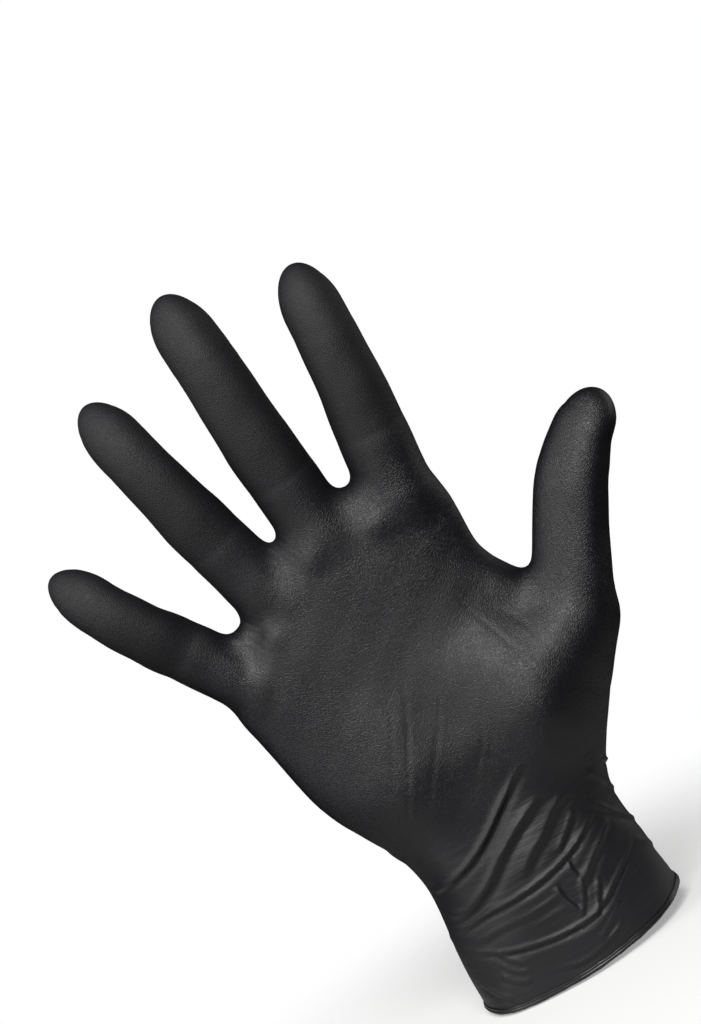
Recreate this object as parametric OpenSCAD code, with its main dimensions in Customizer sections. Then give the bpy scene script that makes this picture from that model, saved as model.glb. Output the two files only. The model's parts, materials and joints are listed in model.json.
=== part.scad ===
// Disposable nitrile work glove, right hand, in the spread shape of the hand that wears it.
// The cuff opening is centred on the origin, +Z runs from the cuff to the fingertips,
// the palm faces -Y and the thumb points to +X. All sizes are in millimetres.
//
// The real glove is one dipped film with a rolled bead. Here the film is divided where the hand
// bends it: stiff zones that keep their shape, and flex bands that fold at a joint.

/* [Film] */
// Thickness of the dipped film
film = 0.15; // [0.15:0.01:0.4]
// Thickness of the rolled bead at the cuff's edge
bead = 1.4; // [1:0.1:2.4]

/* [Cuff and wrist] */
// Width of the cuff opening
cuff_width = 70; // [58:1:88]
// Depth of the cuff opening
cuff_depth = 49; // [40:1:62]
// Width of the glove at the wrist crease
wrist_width = 67; // [56:1:84]
// Depth of the glove at the wrist crease
wrist_depth = 45; // [36:1:56]
// Height of the wrist crease above the cuff's edge
wrist_height = 44; // [36:1:80]
// Length of film that folds at the wrist
wrist_band_length = 14; // [11:1:18]

/* [Palm] */
// Width across the knuckles
palm_width = 91; // [74:1:110]
// Thickness of the palm at the knuckles
palm_depth = 28; // [22:1:34]
// Wrist crease to the root crease of the middle finger
palm_length = 122; // [100:1:150]
// How far the middle of the knuckles lies from the cuff's centre line
palm_offset = -8.5; // [-14:0.5:0]
// Radius of the mound at the root of the thumb
thumb_mound = 19; // [15:0.5:24]
// Radius of the mound on the little finger's side
heel_mound = 17; // [13:0.5:21]

/* [Fingers, from index to little] */
// Root crease to fingertip
finger_length = [63.5, 73.5, 65.5, 55]; // [44:0.5:90]
// Root crease to middle crease
middle_crease = [18.5, 21.5, 19, 16]; // [14:0.5:28]
// Root crease to tip crease
tip_crease = [40.5, 48, 42.5, 34.5]; // [30:0.5:60]
// Width at the root crease
root_width = [22.4, 22.2, 20.8, 19]; // [15:0.1:28]
// Width where the rounded tip begins
tip_width = [17.4, 18, 17, 15]; // [12:0.1:22]
// Lean from straight up, towards the thumb
finger_lean = [5.5, -2.5, -13.5, -32]; // [-40:0.5:20]

/* [Thumb] */
// Root crease to the bend at the thumb's joint
thumb_root_length = 20; // [17:0.5:26]
// Joint to thumb tip
thumb_tip_length = 30; // [24:0.5:38]
// Width at the root crease
thumb_root_width = 23.2; // [18:0.1:29]
// Width where the rounded tip begins
thumb_tip_width = 18.4; // [14:0.1:23]
// Lean of the thumb's root from straight up
thumb_lean = 31; // [24:0.5:42]
// Further lean of the thumb's tip
thumb_bend = 13; // [0:0.5:18]

/* [Flex bands] */
// Length of film that folds at a finger's root crease
root_band = 13; // [11:0.5:15]
// Length of film that folds at a finger's middle crease
middle_band = 12; // [10:0.5:14]
// Length of film that folds at a finger's tip crease
tip_band = 9; // [8:0.5:11]

/* [Hidden] */

film_colour = "#26262a";
bead_colour = "#1c1c1f";
INDEX = 0;
MIDDLE = 1;
RING = 2;
LITTLE = 3;
FINGERS = [INDEX, MIDDLE, RING, LITTLE];

sides = 28;               // corners of a ring round a finger
cuff_sides = 56;          // corners of a ring round the cuff and bead
bead_sides = 8;           // corners of the bead's own section, flat side up
dome_rings = 5;           // rings of a rounded tip
depth_share = 0.88;       // depth of a finger over its width
dome_share = 0.62;        // length of a rounded tip over its width
sliver = 0.01;            // thickness of a section that only shapes a hull
through = 2;              // how far the hollow runs on through an open end

wrist_z = wrist_height;
palm_z = wrist_z + wrist_band_length / 2;
sleeve_top = wrist_z - wrist_band_length / 2;
wrist_x = 1.5;            // the wrist lies a little towards the thumb

// Places of the root creases across the palm, as shares of its width and length
root_across = [0.376, 0.04, -0.246, -0.514];
root_along = [0.987, 1, 0.945, 0.756];
function root_x(f) = palm_offset + root_across[f] * palm_width;
function root_z(f) = wrist_z + root_along[f] * palm_length;
function along(f, s) = [
    root_x(f) + s * sin(finger_lean[f]), 0, root_z(f) + s * cos(finger_lean[f])
];

// The thumb's root crease hangs from the palm's corner
thumb_y = -5;
thumb_across = 0.766;
thumb_along = 0.531;
thumb_root = [
    palm_offset + thumb_across * palm_width, thumb_y, wrist_z + thumb_along * palm_length
];
thumb_joint = thumb_root + thumb_root_length * [sin(thumb_lean), 0, cos(thumb_lean)];
tip_lean = thumb_lean + thumb_bend;

function mix(a, b, t) = a + (b - a) * t;
function clamp01(t) = min(1, max(0, t));

// A section is [centre, lean, half width, half depth]; its ring lies square to the lean.
function ring(sec, n) = [
    for (i = [0 : n - 1])
        let (c = sec[2] * cos(360 * i / n))
        sec[0] + [c * cos(sec[1]), sec[3] * sin(360 * i / n), -c * sin(sec[1])]
];
function flat(lists) = [for (l = lists) for (p = l) p];

// Quads between neighbouring rings, as triangles; turned = true faces them inwards
function wall(rings, n, base, turned) = [
    for (r = [0 : rings - 2])
        for (i = [0 : n - 1])
            let (a = base + r * n + i, b = base + r * n + (i + 1) % n, c = a + n, d = b + n)
                each turned ? [[a, b, c], [b, d, c]] : [[a, c, b], [b, c, d]]
];
// The flat rim that joins an outer ring to the inner ring of the same end
function rim(outer, inner, n, turned) = [
    for (i = [0 : n - 1])
        let (a = outer + i, b = outer + (i + 1) % n, c = inner + i, d = inner + (i + 1) % n)
            each turned ? [[a, c, b], [b, c, d]] : [[a, b, c], [b, d, c]]
];
function fan(first, peak, n, turned) = [
    for (i = [0 : n - 1])
        turned ? [first + i, first + (i + 1) % n, peak] : [first + i, peak, first + (i + 1) % n]
];

// A tube of film, open at both ends, through the outer sections and the matching inner ones
module film_tube(outer, inner, n = sides) {
    m = len(outer);
    points = concat(flat([for (s = outer) ring(s, n)]), flat([for (s = inner) ring(s, n)]));
    polyhedron(points, concat(
        wall(m, n, 0, false),
        wall(m, n, m * n, true),
        rim(0, m * n, n, false),
        rim((m - 1) * n, (2 * m - 1) * n, n, true)
    ));
}

// The same, closed at its far end by the points outer_peak and inner_peak
module film_thimble(outer, inner, outer_peak, inner_peak, n = sides) {
    m = len(outer);
    points = concat(
        flat([for (s = outer) ring(s, n)]), flat([for (s = inner) ring(s, n)]),
        [outer_peak, inner_peak]
    );
    polyhedron(points, concat(
        wall(m, n, 0, false),
        wall(m, n, m * n, true),
        rim(0, m * n, n, false),
        fan((m - 1) * n, 2 * m * n, n, false),
        fan((2 * m - 1) * n, 2 * m * n + 1, n, true)
    ));
}

// ---- fingers ----
function dome_length(f) = tip_width[f] * dome_share;
function half_width(f, s) = mix(
    root_width[f], tip_width[f], clamp01(s / (finger_length[f] - dome_length(f)))
) / 2;
function finger_section(f, s, inset = 0) = [
    along(f, s), finger_lean[f],
    half_width(f, s) - inset, half_width(f, s) * depth_share - inset
];
function dome_section(f, turn, inset) =
    let (start = finger_length[f] - dome_length(f), w = tip_width[f] / 2)
    [
        along(f, start + (dome_length(f) - inset) * sin(turn)), finger_lean[f],
        (w - inset) * cos(turn), (w * depth_share - inset) * cos(turn)
    ];

module stall(f, from, to) {
    stations = [from, (from + to) / 2, to];
    film_tube(
        [for (s = stations) finger_section(f, s)],
        [for (s = stations) finger_section(f, s, film)]
    );
}
module tip_stall(f) {
    from = tip_crease[f] + tip_band / 2;
    turns = [for (k = [0 : dome_rings]) 90 * k / (dome_rings + 1)];
    film_thimble(
        concat([finger_section(f, from)], [for (t = turns) dome_section(f, t, 0)]),
        concat([finger_section(f, from, film)], [for (t = turns) dome_section(f, t, film)]),
        along(f, finger_length[f]), along(f, finger_length[f] - film)
    );
}

module root_flex(f) color(film_colour) stall(f, -root_band / 2, root_band / 2);
module root_zone(f) color(film_colour)
    stall(f, root_band / 2, middle_crease[f] - middle_band / 2);
module middle_flex(f) color(film_colour)
    stall(f, middle_crease[f] - middle_band / 2, middle_crease[f] + middle_band / 2);
module middle_zone(f) color(film_colour)
    stall(f, middle_crease[f] + middle_band / 2, tip_crease[f] - tip_band / 2);
module tip_flex(f) color(film_colour)
    stall(f, tip_crease[f] - tip_band / 2, tip_crease[f] + tip_band / 2);
module tip_zone(f) color(film_colour) tip_stall(f);

// ---- thumb ----
thumb_dome = thumb_tip_width * dome_share;
thumb_joint_width = mix(thumb_root_width, thumb_tip_width, 0.3);
thumb_length = thumb_root_length + thumb_tip_length;

// The axis runs straight to the joint and leans over beyond it
function thumb_point(s) = s < thumb_root_length
    ? thumb_root + s * [sin(thumb_lean), 0, cos(thumb_lean)]
    : thumb_joint + (s - thumb_root_length) * [sin(tip_lean), 0, cos(tip_lean)];
function thumb_half(s) = s < thumb_root_length
    ? mix(thumb_root_width, thumb_joint_width, s / thumb_root_length) / 2
    : mix(
        thumb_joint_width, thumb_tip_width,
        clamp01((s - thumb_root_length) / (thumb_tip_length - thumb_dome))
    ) / 2;
function thumb_turn(s) = s < thumb_root_length ? thumb_lean
    : s > thumb_root_length ? tip_lean : (thumb_lean + tip_lean) / 2;
function thumb_section(s, inset = 0) = [
    thumb_point(s), thumb_turn(s), thumb_half(s) - inset, thumb_half(s) * depth_share - inset
];
function thumb_dome_section(turn, inset) =
    let (start = thumb_length - thumb_dome, w = thumb_tip_width / 2)
    [
        thumb_point(start + (thumb_dome - inset) * sin(turn)), tip_lean,
        (w - inset) * cos(turn), (w * depth_share - inset) * cos(turn)
    ];
module thumb_tube(stations) {
    film_tube([for (s = stations) thumb_section(s)], [for (s = stations) thumb_section(s, film)]);
}

// ---- palm ----
knuckle_drop = 26;        // knuckle heads below the root creases
knuckle_in = [3, -1, -3, -5];
web_ball = 6.5;           // radius of the fold of film between two fingers
web_drop = 13;            // centre of that fold below the root creases either side of it
thumb_drop = 22;          // the thumb's knuckle below its root crease
thumb_knuckle = thumb_root - thumb_drop * [sin(thumb_lean), 0, cos(thumb_lean)];
thumb_knuckle_radius = thumb_root_width / 2 + 1;

// Places of the mounds across and along the palm, as shares of its width and length
mound_across = 0.42;
heel_across = 0.22;
heel_along = 0.28;
edge_along = 0.47;        // the palm's edge between the thumb and the index finger
edge_ball = 9;            // radius of that edge
edge_back = 6;            // and how far behind the thumb's mound its lower end lies
mound_y = -2;
mound_rise = 1.08;        // keeps the thumb's mound clear of the wrist, in radii of the mound

// A slice of a section that reaches some way above and below it
module section_disc(sec, above = 0, below = sliver) {
    translate(sec[0]) rotate([0, sec[1], 0]) scale([sec[2], sec[3], 1])
        translate([0, 0, -below]) cylinder(r = 1, h = above + below, $fn = sides);
}
module ball(centre, radius, inset) {
    translate(centre) sphere(r = radius - inset, $fn = 24);
}
module knuckle(f, inset) {
    drop = along(f, -knuckle_drop);
    ball([drop[0] - knuckle_in[f], 0, drop[2]], palm_depth / 2, inset);
}
module web(f, inset) {
    a = along(f, -web_drop);
    b = along(f + 1, -web_drop);
    ball((a + b) / 2, web_ball, inset);
}
function wrist_section(inset) = [
    [wrist_x, 0, palm_z], 0, wrist_width / 2 - inset, wrist_depth / 2 - inset
];
module finger_stub(f, inset) {
    end = finger_section(f, -root_band / 2, inset);
    hull() {
        knuckle(f, inset);
        section_disc(end);
    }
    if (inset > 0) section_disc(end, above = through);
}
module thumb_stub(inset) {
    end = thumb_section(-root_band / 2, inset);
    hull() {
        ball(thumb_knuckle, thumb_knuckle_radius, inset);
        section_disc(end);
    }
    if (inset > 0) section_disc(end, above = through);
}
// The hand inside the palm's film: inset = 0 gives the outside, inset = film the hollow
module palm_form(inset) {
    mound_x = palm_offset + mound_across * palm_width;
    heel_x = palm_offset - heel_across * palm_width;
    hull() {
        section_disc(wrist_section(inset), above = sliver, below = 0);
        ball([heel_x, mound_y, wrist_z + heel_along * palm_length], heel_mound, inset);
        for (f = FINGERS) knuckle(f, inset);
        for (f = [INDEX, MIDDLE, RING]) web(f, inset);
    }
    hull() {
        section_disc(wrist_section(inset), above = sliver, below = 0);
        ball([mound_x, thumb_y, palm_z + mound_rise * thumb_mound], thumb_mound, inset);
        ball(thumb_knuckle, thumb_knuckle_radius, inset);
    }
    hull() {
        knuckle(INDEX, inset);
        ball([mound_x + edge_ball, mound_y, wrist_z + edge_along * palm_length], edge_ball, inset);
        ball([mound_x - edge_back, mound_y, wrist_z + heel_along * palm_length], palm_depth / 2, inset);
    }
    for (f = FINGERS) finger_stub(f, inset);
    thumb_stub(inset);
    if (inset > 0) section_disc(wrist_section(inset), above = sliver, below = through);
}
module palm_film() {
    difference() {
        palm_form(0);
        palm_form(film);
    }
}
half = 300;               // a block that covers the palm to one side of the hand's middle plane
module palm_face() color(film_colour) intersection() {
    palm_film();
    translate([-half / 2, -half, 0]) cube(half);
}
module hand_back() color(film_colour) intersection() {
    palm_film();
    translate([-half / 2, 0, 0]) cube(half);
}

// ---- cuff and wrist ----
waist = 0.955;            // the sleeve draws in a little between the bead and the wrist
function cuff_section(z, share, inset) =
    let (t = (z - bead) / (sleeve_top - bead))
    [
        [mix(0, wrist_x, t), 0, z], 0,
        mix(cuff_width, wrist_width, t) * share / 2 - inset,
        mix(cuff_depth, wrist_depth, t) * share / 2 - inset
    ];
module cuff_sleeve() color(film_colour) {
    stations = [[bead, 1], [mix(bead, sleeve_top, 0.5), waist], [sleeve_top, 1]];
    film_tube(
        [for (s = stations) cuff_section(s[0], s[1], 0)],
        [for (s = stations) cuff_section(s[0], s[1], film)], cuff_sides
    );
}
module wrist_band() color(film_colour) {
    ends = [for (z = [sleeve_top, palm_z]) [[wrist_x, 0, z], 0, wrist_width / 2, wrist_depth / 2]];
    film_tube(
        ends, [for (s = ends) [s[0], s[1], s[2] - film, s[3] - film]], cuff_sides
    );
}
// The bead is a ring with a flat on top, and the sleeve stands on that flat
module cuff_bead() color(bead_colour) {
    apothem = bead / 2;
    corner = apothem / cos(180 / bead_sides);
    rows = [for (k = [0 : bead_sides - 1]) 360 * (k + 0.5) / bead_sides];
    points = flat([
        for (r = rows) ring(
            [
                [0, 0, apothem + corner * sin(r)], 0,
                (cuff_width - film) / 2 + corner * cos(r), (cuff_depth - film) / 2 + corner * cos(r)
            ], cuff_sides
        )
    ]);
    loop = [
        for (k = [0 : bead_sides - 1])
            for (i = [0 : cuff_sides - 1])
                let (
                    j = (i + 1) % cuff_sides, up = (k + 1) % bead_sides,
                    a = k * cuff_sides + i, b = k * cuff_sides + j,
                    c = up * cuff_sides + i, d = up * cuff_sides + j
                )
                each [[a, c, b], [b, c, d]]
    ];
    polyhedron(points, loop);
}

module index_root_band() root_flex(INDEX);
module index_root_stall() root_zone(INDEX);
module index_middle_band() middle_flex(INDEX);
module index_middle_stall() middle_zone(INDEX);
module index_tip_band() tip_flex(INDEX);
module index_tip() tip_zone(INDEX);
module middle_root_band() root_flex(MIDDLE);
module middle_root_stall() root_zone(MIDDLE);
module middle_middle_band() middle_flex(MIDDLE);
module middle_middle_stall() middle_zone(MIDDLE);
module middle_tip_band() tip_flex(MIDDLE);
module middle_tip() tip_zone(MIDDLE);
module ring_root_band() root_flex(RING);
module ring_root_stall() root_zone(RING);
module ring_middle_band() middle_flex(RING);
module ring_middle_stall() middle_zone(RING);
module ring_tip_band() tip_flex(RING);
module ring_tip() tip_zone(RING);
module little_root_band() root_flex(LITTLE);
module little_root_stall() root_zone(LITTLE);
module little_middle_band() middle_flex(LITTLE);
module little_middle_stall() middle_zone(LITTLE);
module little_tip_band() tip_flex(LITTLE);
module little_tip() tip_zone(LITTLE);
module thumb_root_band() color(film_colour) thumb_tube([-root_band / 2, 0, root_band / 2]);
module thumb_root_stall() color(film_colour)
    thumb_tube([root_band / 2, thumb_root_length - middle_band / 2]);
module thumb_tip_band() color(film_colour) thumb_tube([
    thumb_root_length - middle_band / 2, thumb_root_length, thumb_root_length + middle_band / 2
]);
module thumb_tip() color(film_colour) {
    from = thumb_root_length + middle_band / 2;
    turns = [for (k = [0 : dome_rings]) 90 * k / (dome_rings + 1)];
    film_thimble(
        concat([thumb_section(from)], [for (t = turns) thumb_dome_section(t, 0)]),
        concat([thumb_section(from, film)], [for (t = turns) thumb_dome_section(t, film)]),
        thumb_point(thumb_length), thumb_point(thumb_length - film)
    );
}

cuff_bead();
cuff_sleeve();
wrist_band();
palm_face();
hand_back();
index_root_band();
index_root_stall();
index_middle_band();
index_middle_stall();
index_tip_band();
index_tip();
middle_root_band();
middle_root_stall();
middle_middle_band();
middle_middle_stall();
middle_tip_band();
middle_tip();
ring_root_band();
ring_root_stall();
ring_middle_band();
ring_middle_stall();
ring_tip_band();
ring_tip();
little_root_band();
little_root_stall();
little_middle_band();
little_middle_stall();
little_tip_band();
little_tip();
thumb_root_band();
thumb_root_stall();
thumb_tip_band();
thumb_tip();
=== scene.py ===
import json
import math

import bmesh
import bpy
import numpy as np
import openvdb
from mathutils import Matrix, Vector


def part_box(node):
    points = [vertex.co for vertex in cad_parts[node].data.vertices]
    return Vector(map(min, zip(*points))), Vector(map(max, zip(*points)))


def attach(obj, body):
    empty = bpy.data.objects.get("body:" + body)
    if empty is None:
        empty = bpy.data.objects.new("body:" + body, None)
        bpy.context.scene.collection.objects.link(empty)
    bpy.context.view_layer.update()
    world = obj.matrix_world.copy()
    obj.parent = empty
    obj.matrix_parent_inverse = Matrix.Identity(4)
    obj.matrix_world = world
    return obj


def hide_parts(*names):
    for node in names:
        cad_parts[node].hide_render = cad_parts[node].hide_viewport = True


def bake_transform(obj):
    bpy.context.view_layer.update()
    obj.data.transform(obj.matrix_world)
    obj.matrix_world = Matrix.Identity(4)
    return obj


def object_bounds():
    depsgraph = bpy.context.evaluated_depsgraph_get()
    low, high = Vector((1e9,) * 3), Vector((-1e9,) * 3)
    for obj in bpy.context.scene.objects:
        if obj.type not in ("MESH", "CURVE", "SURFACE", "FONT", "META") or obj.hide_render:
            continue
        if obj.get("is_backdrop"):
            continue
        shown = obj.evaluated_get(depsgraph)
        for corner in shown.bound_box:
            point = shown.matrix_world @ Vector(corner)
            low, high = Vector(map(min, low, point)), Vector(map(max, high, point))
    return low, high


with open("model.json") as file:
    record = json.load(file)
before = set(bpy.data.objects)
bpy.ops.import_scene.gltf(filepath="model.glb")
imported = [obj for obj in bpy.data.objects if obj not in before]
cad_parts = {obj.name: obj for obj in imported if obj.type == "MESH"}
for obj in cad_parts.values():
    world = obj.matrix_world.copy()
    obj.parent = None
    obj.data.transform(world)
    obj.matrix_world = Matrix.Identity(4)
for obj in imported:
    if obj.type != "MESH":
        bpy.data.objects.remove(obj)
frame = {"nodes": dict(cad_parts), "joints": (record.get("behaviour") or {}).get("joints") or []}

bl_info = {
    "name": "Disposable Nitrile Glove",
    "version": (1, 0, 0),
    "blender": (4, 5, 0),
    "location": "3D View > Sidebar > Glove",
    "description": "A dipped glove in the shape of the hand that wears it, with folds that bend",
    "category": "Add Mesh",
}

MM = 1000.0               # the shape is worked out in millimetres, the frame is in metres
UP = np.array([0.0, 0.0, 1.0])
FINGERS = ("index", "middle", "ring", "little")
JOINTS = {joint["name"]: joint for joint in frame["joints"]}


# ---- measures taken from the frame ----

def hinge(joint):
    """Where a joint's hinge stands, in millimetres."""
    return np.array(JOINTS[joint]["pos_m"]) * MM


def node_points(*nodes):
    """The corners of some CAD nodes, in millimetres."""
    return MM * np.array([v.co for n in nodes for v in frame["nodes"][n].data.vertices])


def unit(v):
    return v / np.linalg.norm(v)


def mix(a, b, t):
    return a + (b - a) * t


def smooth_step(t):
    t = np.clip(t, 0.0, 1.0)
    return t * t * (3.0 - 2.0 * t)


def bump(x, middle, reach):
    """A bell of height 1 round the middle."""
    return np.exp(-(((x - middle) / reach) ** 2))


def curve(x, knots, values):
    """A smooth line through the values at the knots, level beyond both ends."""
    knots, values = np.asarray(knots, float), np.asarray(values, float)
    slopes = np.gradient(values, knots)
    slopes[0] = slopes[-1] = 0.0
    x = np.clip(x, knots[0], knots[-1])
    i = np.clip(np.searchsorted(knots, x) - 1, 0, len(knots) - 2)
    step = knots[i + 1] - knots[i]
    t = (x - knots[i]) / step
    return (
        values[i] * (1 + 2 * t) * (1 - t) ** 2
        + slopes[i] * step * t * (1 - t) ** 2
        + values[i + 1] * t * t * (3 - 2 * t)
        + slopes[i + 1] * step * t * t * (t - 1)
    )


class Stall:
    """A finger or thumb stall as the frame has it. Distances along it count from its root crease."""

    def __init__(self, name, joints, nodes):
        self.name = name
        self.hinges = [hinge(j) for j in joints]
        self.root = self.hinges[0]
        self.axis = unit(self.hinges[1] - self.root)
        self.side = np.array([self.axis[2], 0.0, -self.axis[0]])
        self.creases = [float((h - self.root) @ self.axis) for h in self.hinges]
        self.nodes = nodes
        tip_node = node_points(nodes[-1])
        root_node = node_points(nodes[0])
        self.tip_axis = unit(tip_node[-2] - self.hinges[-1])
        self.length = self.creases[-1] + float(((tip_node - self.hinges[-1]) @ self.tip_axis).max())
        self.root_half = float(abs((root_node - self.root) @ self.side).max())
        tip_side = np.array([self.tip_axis[2], 0.0, -self.tip_axis[0]])
        self.tip_half = float(abs((tip_node - self.hinges[-1]) @ tip_side).max())

    def point(self, along):
        return self.root + along * self.axis


def finger_nodes(f):
    zones = ("root_band", "root_stall", "middle_band", "middle_stall", "tip_band", "tip")
    return [f"{f}_{zone}" for zone in zones]


STALLS = {
    f: Stall(f, [f"{f}_{j}_fold" for j in ("root", "middle", "tip")], finger_nodes(f))
    for f in FINGERS
}
THUMB = Stall(
    "thumb", ["thumb_root_fold", "thumb_tip_fold"],
    ["thumb_root_band", "thumb_root_stall", "thumb_tip_band", "thumb_tip"],
)
WRIST = hinge("wrist_fold")
CUFF_LOW, CUFF_HIGH = (MM * np.array(c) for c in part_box("cuff_bead"))
BAND_LOW, BAND_HIGH = (MM * np.array(c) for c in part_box("wrist_band"))
CUFF_HALF = (CUFF_HIGH - CUFF_LOW) / 2
BAND_HALF = (BAND_HIGH - BAND_LOW) / 2
PALM_LENGTH = float(STALLS["middle"].root[2] - WRIST[2])

WRIST_START = WRIST[2] - 11.5     # the film begins to bend here
WRIST_END = WRIST[2] + 12.5       # and follows the palm from here on
ROOT_CUT = -4.5                   # a finger's own film starts this far below its root crease


# ---- the hand's form as a distance field ----

def smooth_union(a, b, reach):
    """The union of two distances with a fillet where they meet."""
    h = np.clip(0.5 + 0.5 * (b - a) / reach, 0.0, 1.0)
    return b * (1 - h) + a * h - reach * h * (1 - h)


def ellipse_distance(across, deep, end, half, thick, dome):
    """About how far points lie outside a rounded section; end is how far they are past its last one."""
    g = np.sqrt((across / half) ** 2 + (deep / thick) ** 2 + (end / dome) ** 2)
    slope = np.sqrt(
        (across / half ** 2) ** 2 + (deep / thick ** 2) ** 2 + (end / dome ** 2) ** 2
    )
    return (g - 1) * np.maximum(g, 0.05) / np.maximum(slope, 1e-6)


FAR = 15.0      # distances beyond this do not matter


def nearby(points, line, reach, distance):
    """distance(points) for the points near the line, and a plain large distance for the others."""
    low, high = line.min(0) - reach, line.max(0) + reach
    near = np.all((points > low) & (points < high), axis=1)
    out = np.full(len(points), FAR)
    out[near] = np.minimum(distance(points[near]), FAR)
    return out


class Sweep:
    """A rounded form along a line that bends in the hand's plane."""

    def __init__(self, line, half, front, back, tip, heel, skew=None):
        self.line = line
        steps = np.linalg.norm(np.diff(line, axis=0), axis=1)
        self.run = np.concatenate([[0.0], np.cumsum(steps)])
        self.tangent = np.gradient(line, self.run, axis=0)
        self.tangent /= np.linalg.norm(self.tangent, axis=1)[:, None]
        self.half, self.front, self.back = half, front, back
        self.tip, self.heel = tip, heel
        # how much its palm side swells to one side
        self.skew = np.zeros(len(half)) if skew is None else skew

    def near_distance(self, points):
        flat = points[:, [0, 2]].astype(np.float32)
        line = self.line[:, [0, 2]].astype(np.float32)
        gap = ((flat[:, None, :] - line[None]) ** 2).sum(2)
        i = gap.argmin(1)
        off = points - self.line[i]
        t = self.tangent[i]
        run = self.run[i] + (off * t).sum(1)
        across = off[:, 0] * t[:, 2] - off[:, 2] * t[:, 0]
        deep = points[:, 1] - np.interp(run, self.run, self.line[:, 1])
        end = np.maximum(run - (self.run[-1] - self.tip), 0)
        start = np.maximum(self.heel - run, 0)
        half = np.interp(run, self.run, self.half)
        front = np.interp(run, self.run, self.front)
        back = np.interp(run, self.run, self.back)
        tilt = np.interp(run, self.run, self.skew) * np.clip(across / half, -1, 1)
        thick = np.where(deep < 0, front * (1 + tilt), back * (1 - tilt))
        past = np.where(end > 0, end, start)
        dome = np.where(end > 0, self.tip, self.heel)
        return ellipse_distance(across, deep, past, half, thick, dome)

    def distance(self, points):
        return nearby(points, self.line, float(self.half.max()) + 7, self.near_distance)


# Each finger's half width from its root to its end, and how far its middle line sways towards the
# thumb at the same places. Below that, how much of the common lean each finger has, and how far its
# tip stops short of the frame's. All lengths are in millimetres.
FINGER_FORMS = {
    "index": ((11.3, 10.5, 9.9, 9.05), (0.0, 0.5, 0.3, -0.35)),
    "middle": ((10.9, 10.7, 10.1, 9.4), (0.7, 0.15, 0.4, 0.0)),
    "ring": ((10.3, 9.8, 9.3, 8.55), (0.1, 0.1, 0.25, 0.4)),
    "little": ((9.6, 8.75, 8.9, 7.75), (1.0, 0.7, 0.95, 2.0)),
}
LEANS = {"index": 0.9, "middle": 1.0, "ring": 1.15, "little": 1.3}
SHORTER = {"index": 0.3, "middle": 0.0, "ring": 0.5, "little": 1.6}


def finger_sweep(stall):
    """The finger from inside the palm to its tip, fuller at its foot, thinner over the nail and with a
    slight knuckle behind its middle joint.
    """
    end = stall.length - SHORTER[stall.name]
    s = np.linspace(-26.0, end, 90)
    root, middle, tip = stall.creases
    widths, sways = FINGER_FORMS[stall.name]
    places = np.array([0.0, 0.33, 0.67, 1.0]) * (end - 12) + [0, 0, 0, 6]
    half = curve(s, places, widths)
    foot = 1 - smooth_step((s - 2) / 30)
    ankle = 1 - smooth_step((s + 17) / 27)
    nail = smooth_step((s - tip - 2) / (end - tip))
    front = half * (0.92 + 0.15 * foot)
    back = half * (0.92 + 0.25 * ankle - 0.22 * nail + 0.05 * bump(s, middle, 6))
    line = stall.root + s[:, None] * stall.axis + curve(s, places, sways)[:, None] * stall.side
    # the relaxed finger leans a little towards the palm, and its tip back again
    lean = curve(s, [-8, 8, middle + 4, mix(middle, tip, 0.8), end], [0, -1.5, -4.8, -6.0, -2.0])
    line[:, 1] += LEANS[stall.name] * lean
    return Sweep(line, half, front, back, 1.77 * widths[-1], 12.0)


def rounded(line, window):
    """A line with its corners rounded by averaging each point with its neighbours."""
    pad = window // 2
    long = np.pad(line, ((pad, pad), (0, 0)), mode="reflect", reflect_type="odd")
    share = np.ones(window) / window
    return np.stack([np.convolve(long[:, k], share, "valid") for k in range(3)], axis=1)


# The thumb's half width and sway away from the fingers, at distances from its root crease.
THUMB_PLACES = (-40.0, -30.0, -20.0, -8.0, 4.0, 20.0, 25.0, 30.0, 35.0, 42.0)
THUMB_HALVES = (12.0, 13.2, 13.6, 12.6, 11.8, 11.4, 11.0, 10.4, 9.7, 9.3)
THUMB_SWAYS = (-2.0, -1.0, 0.0, 0.1, -0.3, -0.6, -1.0, -1.5, -1.7, -1.0)


def thumb_sweep():
    """The thumb with the root of its mound, from the wrist to its tip."""
    knuckle = THUMB.point(-22.0)
    base = mix(WRIST, knuckle, 0.66) + [0, -5.0, 0]
    tip = THUMB.hinges[1] + (THUMB.length - THUMB.creases[1] - 0.3) * THUMB.tip_axis
    corners = [base, knuckle, THUMB.root, THUMB.hinges[1], tip]
    run = np.concatenate([[0], np.cumsum(np.linalg.norm(np.diff(corners, axis=0), axis=1))])
    t = np.linspace(0, run[-1], 140)
    line = np.stack([np.interp(t, run, np.array(corners)[:, k]) for k in range(3)], axis=1)
    line = rounded(line, 13)
    s = t - run[2]
    end = s[-1]
    ahead = np.gradient(line, axis=0)
    side = unit_rows(np.stack([ahead[:, 2], 0 * s, -ahead[:, 0]], axis=1))
    half = curve(s, THUMB_PLACES, THUMB_HALVES)
    line = line + curve(s, THUMB_PLACES, THUMB_SWAYS)[:, None] * side
    front = half * (0.98 + 0.04 * bump(s, end - 12, 9))
    back = half * 0.94
    skew = 0.34 * smooth_step((s + 30) / 25)
    return Sweep(line, half, front, back, 1.5 * THUMB_HALVES[-1], 14.0, skew)


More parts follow.
